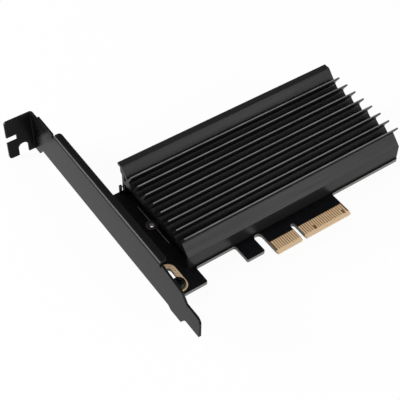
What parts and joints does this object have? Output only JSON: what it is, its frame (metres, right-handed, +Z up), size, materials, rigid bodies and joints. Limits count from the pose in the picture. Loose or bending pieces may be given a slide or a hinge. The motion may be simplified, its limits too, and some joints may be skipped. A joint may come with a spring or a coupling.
{
  "type": "nvme adapter card",
  "caption": "Expansion card that carries a solid state drive under a finned black heatsink, with a gold contact edge and a folded steel slot bracket.",
  "frame": {"origin": "middle of the keying notch, on the lower edge of the contact fingers, at the component face of the board", "axes": "+X along the card away from the bracket, +Y from the contact fingers to the back edge, +Z up from the component face"},
  "size_m": [0.1273, 0.12, 0.0227],
  "materials": {
    "solder_mask": "satin",
    "gold_plating": "satin",
    "coated_steel": "satin",
    "black_screws": "satin",
    "black_anodised": "satin",
    "gap_pad": "matt",
    "tin_plate": "satin",
    "socket_plastic": "matt",
    "chip_ceramic": "satin",
    "resistor_glaze": "gloss",
    "lamp_lens": "gloss",
    "post_plastic": "matt"
  },
  "bodies": {
    "root": {"circuit_board": "solder_mask", "edge_contacts_front": "gold_plating", "edge_contacts_back": "gold_plating", "ground_pads_front": "gold_plating", "ground_pads_back": "gold_plating", "bracket": "coated_steel", "bracket_screws": "black_screws", "heatsink": "black_anodised", "heatsink_screws": "black_screws", "thermal_pad": "gap_pad", "drive_nuts": "tin_plate", "drive_socket": "socket_plastic", "socket_contacts": "gold_plating", "socket_anchors": "tin_plate", "coupling_capacitors": "chip_ceramic", "filter_capacitors": "chip_ceramic", "pull_up_resistors": "resistor_glaze", "status_led": "lamp_lens", "board_post": "post_plastic"}
  },
  "joints": []
}
